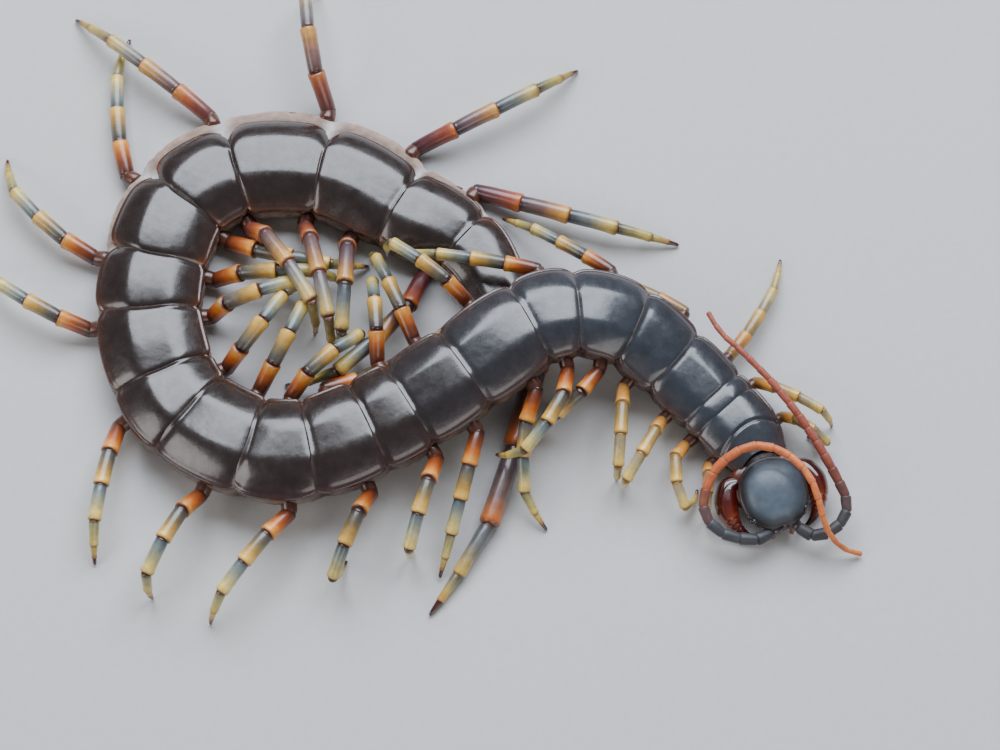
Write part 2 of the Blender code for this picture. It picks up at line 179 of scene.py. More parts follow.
def smooth_object(name, points, faces):
    """A smooth object of points and faces, all of which face outwards."""
    mesh = bpy.data.meshes.new(name)
    mesh.from_pydata([tuple(point) for point in points], [], faces)
    mesh.polygons.foreach_set("use_smooth", [True] * len(mesh.polygons))
    shape = bmesh.new()
    shape.from_mesh(mesh)
    bmesh.ops.recalc_face_normals(shape, faces=shape.faces)
    shape.to_mesh(mesh)
    shape.free()
    return bpy.data.objects.new(name, mesh)


def set_tints(mesh, tints):
    """Give every point of a mesh its own colour, which the finishes read."""
    layer = mesh.attributes.new("tint", "FLOAT_COLOR", "POINT")
    layer.data.foreach_set("color", np.column_stack((tints, np.ones(len(tints)))).ravel())


def make_piece(name, points, faces, tints, finish):
    """A smooth piece of points in millimetres of the pose, with a colour for each point."""
    points = np.array(points, float)
    points[:, 2] = np.maximum(points[:, 2], LEAST_HEIGHT)
    piece = smooth_object(name, (points - MIDDLE) * MM, faces)
    set_tints(piece.data, tints)
    piece.data.materials.append(finish)
    bpy.context.scene.collection.objects.link(piece)
    return piece


def linear(code):
    """The linear colour of an sRGB hex value."""
    parts = [int(code[k:k + 2], 16) / 255 for k in (1, 3, 5)]
    return np.array([c / 12.92 if c <= 0.04045 else ((c + 0.055) / 1.055) ** 2.4 for c in parts])


def mix(first, second, share):
    """Colours between two, share by share."""
    share = np.clip(np.asarray(share, float), 0.0, 1.0)[..., None]
    return first * (1 - share) + second * share


def add_node(tree, kind, inputs=None, **settings):
    """Add a node, apply its settings, and set or link its inputs by name or number."""
    node = tree.nodes.new(kind)
    for name, value in settings.items():
        setattr(node, name, value)
    for name, value in (inputs or {}).items():
        if isinstance(value, bpy.types.NodeSocket):
            tree.links.new(value, node.inputs[name])
        else:
            node.inputs[name].default_value = value
    return node


def turns_of(count):
    """Evenly spaced angles once round."""
    return np.linspace(0, 2 * math.pi, count, endpoint=False)


def per_mm(size):
    """Texture scale that makes one feature of a pattern this many millimetres long."""
    return 1.0 / (size * MM)


def start_finish(name, *patterns, **constants):
    """A material with constant values on its shader, its tree and its patterns.

    A pattern of noise is given as its features' length in millimetres, its detail and, where it
    isn't the usual one, its roughness.
    """
    material = bpy.data.materials.new(name)
    material.use_nodes = True
    tree = material.node_tree
    for socket, value in constants.items():
        tree.nodes["Principled BSDF"].inputs[socket.replace("_", " ")].default_value = value
    place = add_node(tree, "ShaderNodeTexCoord").outputs["Object"]
    noises = []
    for size, detail, *rough in patterns:
        noises.append(add_node(tree, "ShaderNodeTexNoise", {
            "Vector": place, "Scale": per_mm(size), "Detail": detail,
            "Roughness": rough[0] if rough else 0.5}).outputs["Fac"])
    return material, tree, *noises


def end_finish(tree, clouds, shades, specks, glosses, *reliefs, cloud_span=(0.3, 0.7),
               speck_span=(0.0, 1.0)):
    """Cloud a piece's own tints by one pattern, vary its gloss by another and raise its relief.

    A relief is given as its pattern, strength and depth in millimetres, each upon the last.
    """
    shader = tree.nodes["Principled BSDF"]
    tint = add_node(tree, "ShaderNodeAttribute", attribute_name="tint").outputs["Color"]
    shade, gloss = [add_node(tree, "ShaderNodeMapRange", {
        "Value": pattern, "From Min": span[0], "From Max": span[1], "To Min": low,
        "To Max": high}).outputs[0] for pattern, span, (low, high) in (
            (clouds, cloud_span, shades), (specks, speck_span, glosses))]
    toned = add_node(tree, "ShaderNodeMix", {0: 1.0, 6: tint, 7: shade},
                     data_type="RGBA", blend_type="MULTIPLY")
    tree.links.new(toned.outputs[2], shader.inputs["Base Color"])
    tree.links.new(gloss, shader.inputs["Roughness"])
    below = {}
    for pattern, strength, depth in reliefs:
        bump = add_node(tree, "ShaderNodeBump", {"Height": pattern, "Strength": strength,
                                                 "Distance": depth * MM, **below})
        below = {"Normal": bump.outputs["Normal"]}
    if below:
        tree.links.new(below["Normal"], shader.inputs["Normal"])


BODY = Route(COURSE)
SKIN_STEP = 0.4
CREASE_DEPTH = 0.85
CREASE_WIDTH = 1.1
BULGE = 0.30
FOLD_DEPTH = 0.24
FOLD_LENGTH = 1.25
FINE_FOLDS = 2.3
FINE_FOLD_SHARE = 0.5
FOLD_CENTRE = 0.4
NECK_LENGTH = 3.4
NECK_SHARE = 0.74
TAIL_LENGTH = 3.2
TAIL_SHARE = 0.02
TAIL_TIP = 0.02
FLANK_HEIGHT = 0.34
FLANK_SPREAD = 0.2
BACK_HEIGHT = 0.6
BACK_CREASE = 0.6
CORE_HEIGHT = 0.45
FLOOR_GAP = 0.02
BLUSH = {14: 0.0, 16: 1.0, 20: 1.0, 21: 0.3}

skin_half = smooth_route([(x, z, 0.0) for x, z in SKIN_SECTION], 2)[:, :2]
skin_profile = np.vstack((skin_half, (skin_half * (-1, 1))[-2:0:-1]))
skin_marks = np.arange(PLATE_STARTS[0] - NECK_LENGTH, PLATE_STARTS[-1] + TAIL_LENGTH, SKIN_STEP)
skin_marks = np.append(skin_marks, PLATE_STARTS[-1] + TAIL_LENGTH - TAIL_TIP)
skin_points, skin_tints = [], []
for mark in skin_marks:
    number = segment_number(mark)
    index = int(np.clip(np.searchsorted(PLATE_STARTS, mark) - 1, 0, PLATE_COUNT - 1))
    share = (mark - PLATE_STARTS[index]) / PLATE_LENGTHS[index]
    width = half_width(mark)
    height = 2 * width * HEIGHT_TO_WIDTH
    flanks = bell(skin_profile[:, 1] - FLANK_HEIGHT, FLANK_SPREAD)
    crease = CREASE_DEPTH * bell(np.min(np.abs(PLATE_STARTS - mark)), CREASE_WIDTH)
    bulge = BULGE * math.sin(math.pi * min(max(share, 0.0), 1.0)) ** 2
    swelling = read(SWOLLEN_SIDE, number) * (skin_profile[:, 0] > 0)
    out = skin_profile[:, 0] * width + np.sign(skin_profile[:, 0]) * flanks * (
        bulge - crease + swelling)
    high = (skin_profile[:, 1] - CORE_HEIGHT) * height
    high -= (skin_profile[:, 1] > BACK_HEIGHT) * crease * BACK_CREASE
    shrink = 1.0
    if mark < PLATE_STARTS[0]:
        shrink = 1 - (1 - NECK_SHARE) * (PLATE_STARTS[0] - mark) / NECK_LENGTH
    if mark > PLATE_STARTS[-1]:
        past = (mark - PLATE_STARTS[-1]) / TAIL_LENGTH
        shrink = max(math.sqrt(max(1 - past ** 2, 0)), TAIL_SHARE)
    ring = on_body(mark, out * shrink, high * shrink + CORE_HEIGHT * height)
    centre = BODY.at(mark) + (0, 0, FOLD_CENTRE * height)
    for point, flank, x in zip(ring, flanks, skin_profile[:, 0]):
        fold = noise.noise(Vector(point) / FOLD_LENGTH) + FINE_FOLD_SHARE * noise.noise(
            Vector(point) * FINE_FOLDS / FOLD_LENGTH)
        skin_points.append(point + unit(point - centre) * FOLD_DEPTH * fold * flank)
        blush = float(read(BLUSH, number)) * (x > 0)
        tone = mix(linear("#52443c"), linear("#6e5f55"), (number - 5) / 5)
        tone = mix(tone, linear("#b09484"), blush * flank + 0.3 * fold)
        # Painted shade: the skin of the neck, between the head and the first plate, is made
        # near-black.
        tone = mix(tone, linear("#241714"), (PLATE_STARTS[0] + 1 - mark) / 2)
        # Painted shade darkens the skin in the creases between segments; on the swollen right side
        # those creases get a whitish painted sheen instead.
        tone = mix(tone, linear("#3a2620"), 1.2 * crease * flank * (1 - blush))
        skin_tints.append(mix(tone, linear("#c2bab8"), 1.1 * crease * blush))
skin_points = np.array(skin_points)
skin_points[:, 2] = np.maximum(skin_points[:, 2], FLOOR_GAP)

# Arthropod skin, unhardened chitin, grown in folds: a dull sheen, blotched and finely wrinkled.
skin_finish, tree, blotches, pores = start_finish(
    "folded_leathery_skin", (2.2, 5.0, 0.6), (0.3, 3.0),
    Subsurface_Weight=0.08, Subsurface_Scale=0.0008, IOR=1.5)
place = tree.nodes["Texture Coordinate"].outputs["Object"]
folds = add_node(tree, "ShaderNodeTexVoronoi", {"Vector": place, "Scale": per_mm(0.7)},
                 feature="SMOOTH_F1")
wrinkled = add_node(tree, "ShaderNodeMath", {0: folds.outputs["Distance"], 1: pores},
                    operation="ADD")
end_finish(tree, blotches, (0.72, 1.2), pores, (0.34, 0.58), (wrinkled.outputs[0], 0.35, 0.15))
soft_skin = make_piece("soft_skin", skin_points, tube_faces(len(skin_marks), len(skin_profile)),
                       skin_tints, skin_finish)
trunk_nodes = [f"trunk_{first:02d}_{first + 1:02d}" for first in range(1, PLATE_COUNT, 2)]
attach(soft_skin, "root")
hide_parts(*trunk_nodes, f"trunk_{PLATE_COUNT:02d}")


# --- Back plates -----------------------------------------------------------------------------
# Each segment carries one hard, polished plate of dark horn-like chitin on its back. A plate
# has a raised rim along its sides, dips under the one before it and laps over the next.
SKIN_BARED = 0.55
PLATE_THICKNESS = 0.42
FLAT_CROWN = 0.28
CROWN_EASE = 0.06
PLATE_FALL = 0.39
PLATE_FALL_POWER = 1.4
PLATE_CROWN = 0.34
FRONT_LAP = 0.7
FRONT_DIP = 0.95
REAR_LAP = {0: 2.0, 1: 1.5}
COMMON_LAP = 0.75
REAR_LIP = 0.18
REAR_HOLLOW = {1: -1.6, 2: 0.4, 8: 0.5, 11: 1.3, 16: 1.3, 20: 0.5}
RIM_HEIGHT, RIM_PLACE, RIM_WIDTH = 0.12, 0.28, 0.2
GROOVE_DEPTH, GROOVE_PLACE, GROOVE_WIDTH = 0.10, 0.85, 0.24
EDGE_DROP, EDGE_WIDTH = 0.25, 0.12
RIM_START, RIM_RISE = 1.0, 1.5
CORNER, CORNER_CUT = 3.2, 0.19
REAR_CORNER, REAR_CUT = 2.4, 0.12
SCALLOP = {1: 0.05, 3: 0.08, 8: 0.08, 10: 0.04, 21: 0.03}
SCALLOP_POWER = 2.5
ROUNDED = {14: 0.0, 15: 0.7, 16: 1.35, 19: 1.3, 21: 0.4}
ROUND_FRONT, ROUND_FRONT_LENGTH = 0.20, 4.8
ROUND_REAR, ROUND_REAR_LENGTH = 0.16, 4.2
DIP_LENGTH = 0.85
LIP_WIDTH = 0.35
LIP_GROOVE_PLACE = 0.95
LIP_GROOVE_SHARE = 0.5
PLATE_LIFT = 0.12
# How far each front plate is painted slate blue-grey as a sheen over its near-black brown.
PLATE_SLATE_SHEEN = {1: 1, 5: 1, 7: 0.6, 9: 0.1}
PLATE_AMBER = {14: 0.1, 16: 1.0, 18: 1.0, 20: 0.5}
PLATE_PURPLE = {6: 0, 9: 1, 12: 1, 14: 0}
NECK_FURROW_DEPTH, NECK_FURROW_WIDTH = 0.42, 0.28
NECK_FURROW_PLACE, NECK_FURROW_BEND = 0.53, 0.30
COLLAR_LAP = 0.5
COLLAR_HUG = 2.4
UNDER_INSET = 0.3
ACROSS_COUNT = 45
ALONG_COUNT = 33
COLLAR_COUNT = 97


def near_edge(distance, reach):
    """One at an edge, falling to nothing at this reach from it."""
    return max(1 - distance / reach, 0) ** 2


def dark_chitin(name, coat, glosses):
    """Hardened chitin like near-black horn, clouded, slightly wavy and finely wrinkled."""
    finish, tree, clouds, specks, waves, wrinkles = start_finish(
        name, (3.5, 6.0, 0.65), (2.0, 5.0), (2.6, 2.0), (0.45, 4.0),
        IOR=1.58, Coat_Weight=coat, Coat_Roughness=0.12)
    end_finish(tree, clouds, (0.75, 1.35), specks, glosses, (waves, 0.25, 0.25),
               (wrinkles, 0.10, 0.04), speck_span=(0.3, 0.7))
    return finish


across = np.sin(np.linspace(-1, 1, ACROSS_COUNT) * math.pi / 2)
slope = np.hypot(np.maximum(np.abs(across) - FLAT_CROWN, 0), CROWN_EASE) - CROWN_EASE
fall = PLATE_FALL * (slope / (1 - FLAT_CROWN)) ** PLATE_FALL_POWER
plate_points, plate_tints, plate_faces = [], [], []
for index, length in enumerate(PLATE_LENGTHS):
    start = PLATE_STARTS[index]
    number = index + 1
    front_lap = FRONT_LAP if index else 0.0
    reach = length + front_lap + REAR_LAP.get(index, COMMON_LAP)
    hollow = read(REAR_HOLLOW, number)
    top, colours = [], []
    steps = np.linspace(0, 1, ALONG_COUNT if index else COLLAR_COUNT)
    for share in (1 - np.cos(steps * math.pi)) / 2:
        from_front, to_rear = share * reach, (1 - share) * reach
        mark = start - front_lap + from_front + hollow * share ** 6 * (across ** 2 - 0.5)
        if index == 0:
            mark = mark - (1 - share) ** 3 * (COLLAR_LAP + COLLAR_HUG * across ** 2)
        cut = (1 - CORNER_CUT * near_edge(from_front, CORNER)
               - REAR_CUT * near_edge(to_rear, REAR_CORNER)
               - read(SCALLOP, number) * abs(2 * share - 1) ** SCALLOP_POWER
               - read(ROUNDED, number) * (across > 0) * (
                   ROUND_FRONT * near_edge(from_front, ROUND_FRONT_LENGTH)
                   + ROUND_REAR * near_edge(to_rear, ROUND_REAR_LENGTH)))
        width = half_width(mark)
        bared = SKIN_BARED * read(SWOLLEN_SIDE, segment_number(np.mean(mark)))
        out = across * width * cut - bared * np.clip(across, 0, 1) ** 5
        edge = (1 - np.abs(across)) * width
        high = 2 * width * HEIGHT_TO_WIDTH * (1 - fall) + PLATE_LIFT
        high += PLATE_CROWN * math.sin(math.pi * share) * (1 - 0.7 * across ** 2)
        high += REAR_LIP * (bell(to_rear, LIP_WIDTH)
                            - LIP_GROOVE_SHARE * bell(to_rear - LIP_GROOVE_PLACE, LIP_WIDTH))
        high += min(max((from_front - RIM_START) / RIM_RISE, 0), 1) * (
            RIM_HEIGHT * bell(edge - RIM_PLACE, RIM_WIDTH)
            - GROOVE_DEPTH * bell(edge - GROOVE_PLACE, GROOVE_WIDTH)) - EDGE_DROP * bell(
                edge, EDGE_WIDTH)
        if index:
            high -= FRONT_DIP * bell(from_front, DIP_LENGTH)
        else:
            furrow = (NECK_FURROW_PLACE - NECK_FURROW_BEND * across ** 2) * length
            high -= NECK_FURROW_DEPTH * bell(mark - start - furrow, NECK_FURROW_WIDTH)
        top.append(on_body(mark, out, high))
        # Painted sheen: the front plates are lifted from near-black brown to slate blue-grey,
        # standing in for a broad blue-grey reflection.
        tone = mix(mix(linear("#20140f"), linear("#2a2f36"), read(PLATE_SLATE_SHEEN, number)),
                   linear("#4e2c1e"), 0.6 * np.exp(-edge / 1.1))
        tone = mix(tone, linear("#9a4f1c"), 0.35 * read(PLATE_AMBER, number)
                   * bell(np.hypot(edge, from_front - front_lap), 2.2))
        tone = mix(tone, linear("#2e2026"), 0.5 * read(PLATE_PURPLE, number)
                   * (across > 0) * across ** 2)
        # Painted highlight: a paler band along each plate's rear lip.
        colours.append(mix(tone, linear("#4a3a34"), 0.7 * bell(to_rear, LIP_WIDTH)))
    top = np.array(top)
    drop = BODY.frame(np.full(1, start + length / 2))[3][0] * PLATE_THICKNESS
    under = top - drop
    under[:, 0] += (under[:, 1] - under[:, 0]) * UNDER_INSET
    under[:, -1] += (under[:, -2] - under[:, -1]) * UNDER_INSET
    first = len(plate_points)
    rows, columns = top.shape[:2]
    count = rows * columns
    for layer in (top, under):
        plate_points.extend(layer.reshape(-1, 3))
        plate_tints.extend(np.array(colours).reshape(-1, 3))
    plate_faces += shell_faces(rows, columns, first) + shell_faces(rows, columns, first + count)
    border = (list(range(columns))
              + [row * columns + columns - 1 for row in range(1, rows)]
              + [(rows - 1) * columns + column for column in range(columns - 2, -1, -1)]
              + [row * columns for row in range(rows - 2, 0, -1)])
    for here, there in zip(border, border[1:] + border[:1]):
        plate_faces.append((first + here, first + there, first + count + there,
                            first + count + here))

# Chitin hardened and polished like horn: a clear gloss over near-black brown, whose waves break
# the reflections at their edges, with a scatter of dull specks.
horn_finish = dark_chitin("polished_dark_chitin", 0.45, (0.20, 0.32))
back_plates = make_piece("back_plates", plate_points, plate_faces, plate_tints, horn_finish)
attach(back_plates, "root")


# --- Belly plates and breathing holes --------------------------------------------------------
# Under each segment lies a flat, softer plate of chitin, and every second or third segment has
# a dark-rimmed breathing hole in each flank. Geometry nodes set one small shape at every spot.
BREATHING_SEGMENTS = [3, 5, 8, 10, 12, 14, 16, 18, 20]
HOLE_SIZE = (0.9, 1.5, 0.5)
HOLE_PLACE = 0.62
HOLE_SHARE = 0.935
HOLE_LIFT = 0.40
HOLE_TILT = 0.6
HOLE_BULGE, HOLE_SWELLING = 0.8, 0.9
BELLY_WIDTH_SHARE = 0.62
BELLY_LENGTH_SHARE = 0.9
SLAB_SIDES = 40
SLAB_SQUARENESS = 0.35
RIM_SIDES = 20
RIM_ROUNDS = 8
RIM_RADIUS, RIM_GIRTH = 0.38, 0.12
BELLY_THICKNESS = 0.51


def set_along(name, shape, finish, places, headings, uprights, sizes, tints, girth=1.0):
    """Set a small shape at every spot, its y axis along the heading and z axis upright.

    The shape is a pair of points and faces one long, and sizes are its sides in metres.
    """
    small_shape = smooth_object("small shape", *shape)
    carrier = bpy.data.meshes.new(name + "_spots")
    carrier.from_pydata([tuple((np.array(p) - MIDDLE) * MM) for p in places], [], [])
    for label, values in (("heading", headings), ("upright", uprights), ("size", sizes)):
        layer = carrier.attributes.new(label, "FLOAT_VECTOR", "POINT")
        layer.data.foreach_set("vector", np.array(values, float).ravel())
    set_tints(carrier, tints)
    piece = bpy.data.objects.new(name, carrier)
    bpy.context.scene.collection.objects.link(piece)

    tree = bpy.data.node_groups.new(name + " set along the body", "GeometryNodeTree")
    sockets = {}
    for label, kind in (("Spots", "Geometry"), ("Small shape", "Object"), ("Finish", "Material"),
                        ("Girth", "Float")):
        sockets[label] = tree.interface.new_socket(label, in_out="INPUT",
                                                   socket_type="NodeSocket" + kind)
    tree.interface.new_socket("Shapes", in_out="OUTPUT", socket_type="NodeSocketGeometry")
    given = tree.nodes.new("NodeGroupInput").outputs
    fields = {}
    for label in ("heading", "upright", "size"):
        fields[label] = add_node(tree, "GeometryNodeInputNamedAttribute", {"Name": label},
                                 data_type="FLOAT_VECTOR").outputs["Attribute"]
    turn = add_node(tree, "FunctionNodeAxesToRotation",
                    {"Primary Axis": fields["heading"], "Secondary Axis": fields["upright"]},
                    primary_axis="Y", secondary_axis="Z")
    wide = add_node(tree, "ShaderNodeCombineXYZ", {"X": given["Girth"], "Y": 1.0,
                                                   "Z": given["Girth"]})
    scale = add_node(tree, "ShaderNodeVectorMath", {0: fields["size"], 1: wide.outputs[0]},
                     operation="MULTIPLY")
    small = add_node(tree, "GeometryNodeObjectInfo", {"Object": given["Small shape"]})
    copies = add_node(tree, "GeometryNodeInstanceOnPoints", {
        "Points": given["Spots"], "Instance": small.outputs["Geometry"],
        "Rotation": turn.outputs["Rotation"], "Scale": scale.outputs[0]})
    real = add_node(tree, "GeometryNodeRealizeInstances", {"Geometry": copies.outputs[0]})
    coated = add_node(tree, "GeometryNodeSetMaterial", {"Geometry": real.outputs[0],
                                                        "Material": given["Finish"]})
    add_node(tree, "NodeGroupOutput", {"Shapes": coated.outputs[0]})
    modifier = piece.modifiers.new("set along", "NODES")
    modifier.node_group = tree
    modifier[sockets["Small shape"].identifier] = small_shape
    modifier[sockets["Finish"].identifier] = finish
    modifier[sockets["Girth"].identifier] = girth
    bpy.context.view_layer.update()
    seen = piece.evaluated_get(bpy.context.evaluated_depsgraph_get())
    mesh = bpy.data.meshes.new_from_object(seen)
    piece.modifiers.clear()
    piece.data = mesh
    mesh.name = name
    bpy.data.objects.remove(small_shape)
    return piece


slab = []
for level, inset in ((0.0, 0.06), (0.35, 0.0), (1.0, 0.0)):
    for turn in turns_of(SLAB_SIDES):
        x, y = math.cos(turn), math.sin(turn)
        slab.append((math.copysign(abs(x) ** SLAB_SQUARENESS, x) * (0.5 - inset),
                     math.copysign(abs(y) ** SLAB_SQUARENESS, y) * (0.5 - inset * 0.7), level))
middles = PLATE_STARTS[:-1] + 0.5 * np.array(PLATE_LENGTHS)
centres, tailwards, _, ups = BODY.frame(middles)

# Younger chitin of the belly: an amber-brown waxy shell, smoother and lighter than the back.
belly_finish, tree, clouds = start_finish(
    "waxy_amber_chitin", (2.0, 5.0), IOR=1.55, Coat_Weight=0.25, Coat_Roughness=0.15)
end_finish(tree, clouds, (0.75, 1.2), clouds, (0.25, 0.45), (clouds, 0.2, 0.1))

belly_plates = set_along(
    "belly_plates", (slab, tube_faces(3, SLAB_SIDES)), belly_finish,
    centres + ups * FLOOR_GAP, tailwards, ups,
    np.column_stack((half_width(middles) * 2 * BELLY_WIDTH_SHARE,
                     BELLY_LENGTH_SHARE * np.array(PLATE_LENGTHS),
                     np.full(PLATE_COUNT, BELLY_THICKNESS))) * MM,
    [linear("#7a4a2c")] * PLATE_COUNT)
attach(belly_plates, "root")

rim = []
for turn in turns_of(RIM_SIDES):
    for round_turn in turns_of(RIM_ROUNDS):
        reach = RIM_RADIUS + RIM_GIRTH * math.cos(round_turn)
        rim.append((reach * math.cos(turn), reach * math.sin(turn), 0.5 * math.sin(round_turn)))
rim_faces = [tuple(corner % len(rim) for corner in face)
             for face in shell_faces(RIM_SIDES + 1, RIM_ROUNDS, ring=True)]
hole_places, hole_headings, hole_uprights = [], [], []
for number in BREATHING_SEGMENTS:
    for side in (1, -1):
        mark = PLATE_STARTS[number - 1] + HOLE_PLACE * PLATE_LENGTHS[number - 1]
        width = half_width(mark)
        swelling = read(SWOLLEN_SIDE, number) if side == 1 else 0.0
        _, tailward, right, up = BODY.frame(mark)
        out = HOLE_SHARE * width + BULGE * HOLE_BULGE + HOLE_SWELLING * swelling
        hole_places.append(on_body(mark, np.array(side * out),
                                   np.array(HOLE_LIFT * 2 * width * HEIGHT_TO_WIDTH)))
        hole_headings.append(tailward)
        hole_uprights.append(unit(right * side + up * HOLE_TILT))
breathing_holes = set_along(
    "breathing_holes", (rim, rim_faces), belly_finish,
    hole_places, hole_headings, hole_uprights,
    np.tile(HOLE_SIZE, (len(hole_places), 1)) * MM, [linear("#2a1812")] * len(hole_places))
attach(breathing_holes, "root")


# --- Head ------------------------------------------------------------------------------------
# The head is a capsule of polished chitin under one round domed shield in softer satin, its
# nose tipped to the floor. It carries four simple eyes on each side.
HEAD_PITCH = 8.0
HEAD_SIZE = np.array((13.6, 14.4))
HEAD_ROUNDNESS = 2.15
FOREHEAD_NOTCH = 0.6
NOTCH_WIDTH = 1.3
SHIELD_LEVELS = [
    (0.90, 4.95), (0.965, 5.02), (0.995, 5.18), (1.0, 5.34), (0.995, 5.5), (0.978, 5.64),
    (0.955, 5.72), (0.93, 5.86), (0.90, 6.16), (0.86, 6.55), (0.80, 7.05), (0.72, 7.52),
    (0.62, 7.94), (0.50, 8.27), (0.38, 8.47), (0.26, 8.6), (0.14, 8.66), (0.05, 8.69)]
# Where the shield's painted sheen starts to fade, and over how much of its size.
SHIELD_SHEEN_FADE = (0.70, 0.22)
CAPSULE_LEVELS = [
    (0.20, 1.35), (0.50, 1.4), (0.66, 1.7), (0.76, 2.2), (0.81, 2.9), (0.84, 3.6), (0.855, 4.2),
    (0.875, 4.7), (0.90, 5.0), (0.90, 5.4), (0.80, 5.7), (0.4, 5.9)]
EYES = [(5.15, 4.35, 5.3), (5.75, 3.25, 5.2), (4.6, 5.1, 4.8), (5.5, 4.1, 4.55)]
EYE_RADIUS = 0.58

centre, tailward, right, up = BODY.frame(HEAD_LENGTH / 2)
nod = math.radians(-HEAD_PITCH)
HEAD_TURN = np.column_stack((right, -tailward, up)) @ np.array(
    ((1, 0, 0), (0, math.cos(nod), -math.sin(nod)), (0, math.sin(nod), math.cos(nod))))
HEAD_PLACE = centre


def on_head(points):
    """Points of the head's own frame, x to its right, y forward and z up, in the pose."""
    return HEAD_PLACE + np.asarray(points, float) @ HEAD_TURN.T


def level_rings(levels, size, roundness, notch=0.0, middle=(0.0, 0.0), sides=96):
    """Level rings of a rounded outline of the head, from the lowest to the highest."""
    angle = turns_of(sides)
    x = np.sign(np.cos(angle)) * np.abs(np.cos(angle)) ** (2 / roundness) * size[0] / 2
    y = np.sign(np.sin(angle)) * np.abs(np.sin(angle)) ** (2 / roundness) * size[1] / 2
    rings = []
    for share, high in levels:
        dent = notch * share ** 3 * bell(x * share, NOTCH_WIDTH) * (y > 0)
        rings.append(np.column_stack((middle[0] + x * share, middle[1] + y * share - dent,
                                      np.full(sides, high))))
    return on_head(rings)


def gather(name, parts, tints, finish):
    """One piece of several closed parts, each a pair of points and faces with its colour."""
    points, faces, colours = [], [], []
    for (some_points, some_faces), tone in zip(parts, tints):
        first = len(points)
        points.extend(some_points)
        faces += [tuple(first + corner for corner in face) for face in some_faces]
        colours.extend(tone if np.ndim(tone) == 2 else [tone] * len(some_points))
    return make_piece(name, points, faces, colours, finish)


# The head's shield is the same horn rubbed to a softer satin, so its shine is broad and faint.
satin_finish = dark_chitin("satin_dark_chitin", 0.08, (0.40, 0.52))
rings = level_rings(SHIELD_LEVELS, HEAD_SIZE, HEAD_ROUNDNESS, FOREHEAD_NOTCH)
rim_share = np.repeat(np.array(SHIELD_LEVELS)[:, 0], rings.shape[1])
# Painted reflection: a pale blue-grey sheen over the middle of the shield, fading towards the rim
# to its near-black own colour.
shield_tints = mix(linear("#46525e"), linear("#1a1418"),
                   (rim_share - SHIELD_SHEEN_FADE[0]) / SHIELD_SHEEN_FADE[1])
shield_tints = mix(shield_tints, linear("#4a2418"), 0.5 * bell(rim_share - 1.0, 0.01))
head_shield = make_piece("head_shield", *tube_part(rings), shield_tints, satin_finish)
rings = level_rings(CAPSULE_LEVELS, HEAD_SIZE, HEAD_ROUNDNESS, 0.3)
head_capsule = gather("head_capsule", [tube_part(rings)], [linear("#3a1c16")], horn_finish)
for piece in (head_shield, head_capsule):
    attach(piece, "root")


def egg(middle, size, sides=24, turns=13):
    """An egg-shaped lump of the head, as points and faces."""
    rings = [[(middle[0] + 0.5 * size[0] * math.cos(level) * math.cos(turn),
               middle[1] + 0.5 * size[1] * math.cos(level) * math.sin(turn),
               middle[2] + 0.5 * size[2] * math.sin(level)) for turn in turns_of(sides)]
             for level in np.linspace(-0.48, 0.48, turns) * math.pi]
    return tube_part(on_head(rings))


# Eyes are clear lenses of chitin over dark pigment, so they gleam like wet black glass.
eye_finish, tree, film = start_finish("wet_black_lens", (0.4, 2.0), IOR=1.6,
                                      Coat_Weight=1.0, Coat_Roughness=0.02)
end_finish(tree, film, (0.6, 1.8), film, (0.06, 0.16), cloud_span=(0.0, 1.0))
eye_parts = [egg((x * side, y, z), (2 * EYE_RADIUS,) * 3)
             for side in (1, -1) for x, y, z in EYES]
eyes = gather("eyes", eye_parts, [linear("#141016")] * len(eye_parts), eye_finish)
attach(eyes, "root")


# --- Mouthparts and fang plate ---------------------------------------------------------------
# Under the head lie the lip, two small feeding legs and the broad plate that carries the fangs,
# whose front edge ends in two tooth plates. All are the belly's waxy chitin, in darker reds.
LIP_PLACE = (0.0, 5.4, 3.0)
LIP_SIZE = (6.4, 4.0, 3.0)
PALP = [(1.6, 3.6, 1.9), (2.3, 5.0, 1.75), (2.6, 6.2, 1.6), (2.3, 7.3, 1.55), (1.7, 8.2, 1.5)]
PALP_RADII = [0.9, 0.86, 0.8, 0.62, 0.4]
FANG_PLATE_PLACE = (0.0, -2.6)
FANG_PLATE_SIZE = (14.4, 9.4)
FANG_PLATE_LEVELS = [(0.4, 0.55), (0.86, 0.6), (0.95, 0.8), (1.0, 1.3), (1.01, 2.1), (1.0, 3.0),
                     (0.96, 3.5), (0.90, 3.8), (0.5, 3.9)]
TOOTH_PLACES = [0.5, 1.1, 1.7, 2.3]


def tapered_tube(points, radii, sides=20, flatness=1.0, across=(0.0, 0.0, 1.0)):
    """Points of a round tube along a path, flattened along one direction."""
    points = np.array(points, float)
    ahead = unit(np.gradient(points, axis=0))
    side = unit(np.cross(ahead, across))
    rise = np.cross(side, ahead)
    turns = turns_of(sides)
    rings = [p + r * (np.outer(np.cos(turns), s) + flatness * np.outer(np.sin(turns), u))
             for p, r, s, u in zip(points, radii, side, rise)]
    return np.array(rings)


rings = level_rings(FANG_PLATE_LEVELS, FANG_PLATE_SIZE, 3.5, 0.0, FANG_PLATE_PLACE, 64)
mouth_parts = [tube_part(rings), egg(LIP_PLACE, LIP_SIZE, 32, 17)]
mouth_tints = [linear("#5a2413"), linear("#4a2016")]
for side in (1, -1):
    palp = tapered_tube(on_head(np.array(PALP) * (side, 1, 1)), PALP_RADII)
    mouth_parts += [tube_part(palp), egg((1.4 * side, 1.9, 1.5), (2.5, 1.5, 0.9))]
    mouth_parts += [egg((x * side, 2.55, 1.45), (0.5, 1.0, 0.5), 12, 9) for x in TOOTH_PLACES]
    mouth_tints += [linear("#8a4a24"), linear("#3a140c")]
    mouth_tints += [linear("#120807")] * len(TOOTH_PLACES)
mouthparts = gather("mouthparts", mouth_parts, mouth_tints, belly_finish)
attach(mouthparts, "root")
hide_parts("head")


